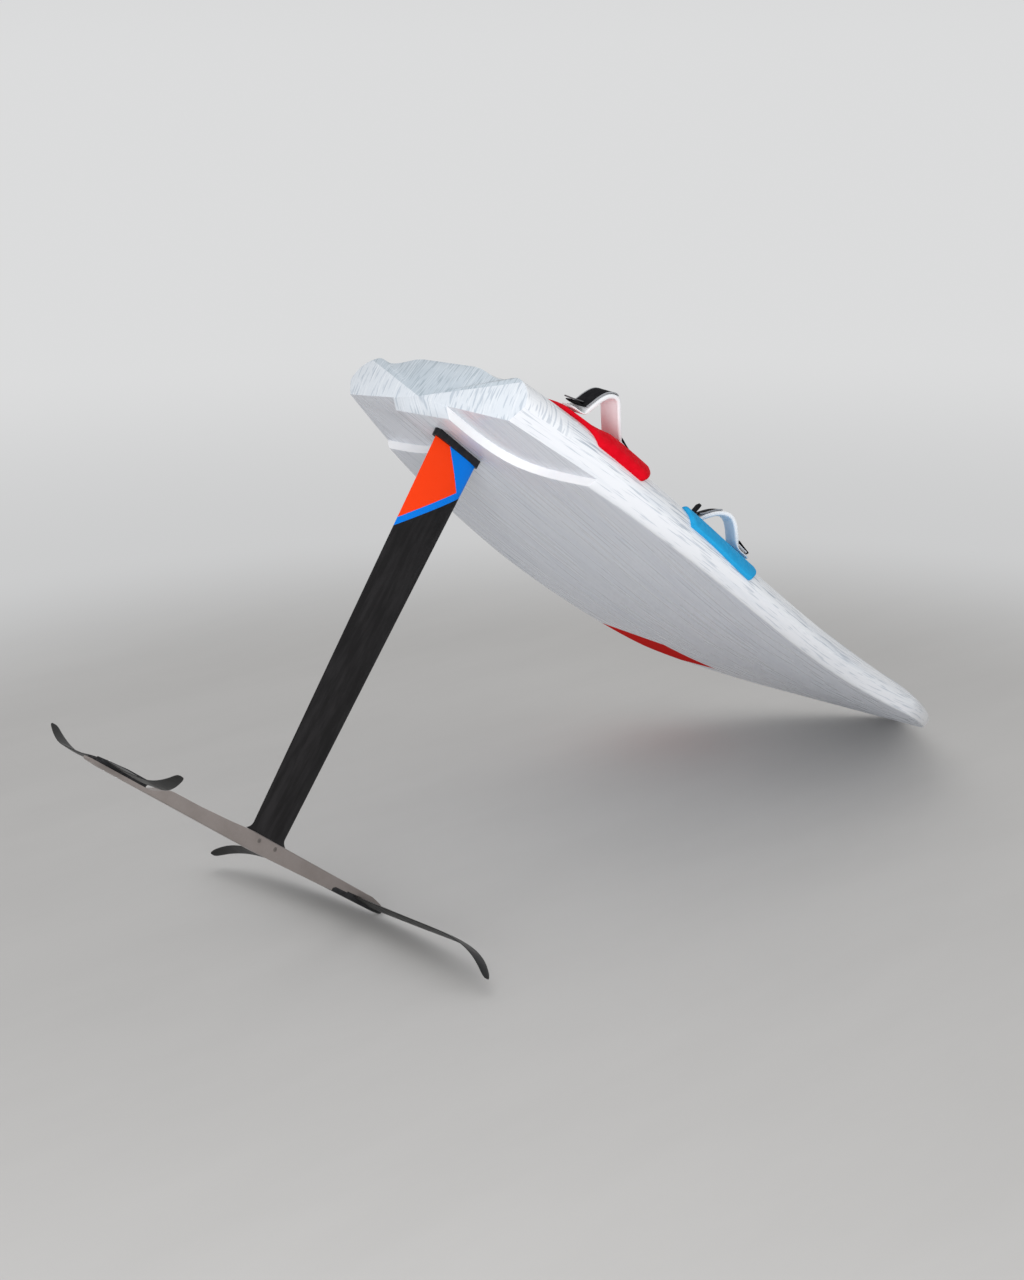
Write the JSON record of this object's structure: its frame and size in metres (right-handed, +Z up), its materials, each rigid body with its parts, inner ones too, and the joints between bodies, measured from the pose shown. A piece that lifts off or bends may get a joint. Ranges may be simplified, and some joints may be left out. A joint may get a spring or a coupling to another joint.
{
  "type": "windsurf foil board",
  "caption": "Wide white board with padded footstraps on a tall flat mast, a long fuselage, a drooped front wing and a small tail wing, standing nose down.",
  "frame": {"origin": "centre of the bounding box on the floor the board's nose and the foil rest on", "axes": "+X towards the nose of the board along the floor, +Y to port, +Z up"},
  "size_m": [2.8, 0.992, 1.2631],
  "materials": {
    "board_white": "glossy white with fine grey-blue streaks",
    "box_plastic": "moulded",
    "track_plastic": "moulded",
    "steel": "brushed",
    "pad_red": "matt foam",
    "pad_blue": "matt foam",
    "strap_white": "smooth padded cloth",
    "cover_black": "hook-and-loop cloth",
    "insert_plastic": "moulded",
    "mast_head_black": "satin",
    "mast_carbon": "satin, with colour panels at the top",
    "brass": "turned",
    "fuselage_alloy": "bead-blasted and anodised",
    "wing_carbon": "satin",
    "shim_plastic": "moulded"
  },
  "bodies": {
    "board": {"board_hull": "board_white", "foil_box": "box_plastic", "mast_track": "track_plastic", "vent_plug": "steel", "pad_rear_stb": "pad_red", "pad_rear_port": "pad_red", "pad_front_stb": "pad_blue", "pad_front_port": "pad_blue", "strap_rear_stb": "strap_white", "strap_rear_port": "strap_white", "strap_front_stb": "strap_white", "strap_front_port": "strap_white", "cover_rear_stb": "cover_black", "cover_rear_port": "cover_black", "cover_front_stb": "cover_black", "cover_front_port": "cover_black", "insert_rear_stb": "insert_plastic", "insert_rear_port": "insert_plastic", "insert_front_stb": "insert_plastic", "insert_front_port": "insert_plastic", "screw_rear_stb": "steel", "screw_rear_port": "steel", "screw_front_stb": "steel", "screw_front_port": "steel", "mast_head": "mast_head_black", "mast": "mast_carbon", "head_bolt_fore": "steel", "head_bolt_aft": "steel", "barrel_fore": "brass", "barrel_aft": "brass", "fuselage": "fuselage_alloy", "foot_bolt_fore": "steel", "foot_bolt_aft": "steel", "front_wing": "wing_carbon", "front_wing_screw_fore": "steel", "front_wing_screw_aft": "steel", "tail_shim": "shim_plastic", "tail_wing": "wing_carbon", "tail_screw_fore": "steel", "tail_screw_aft": "steel"},
    "nut": {"track_nut": "steel"}
  },
  "joints": [
    {"name": "nut_slide", "type": "slide", "parent": "board", "child": "nut", "axis": [0.8159, 0, -0.5782], "range_m": [-0.115, 0.115]}
  ]
}
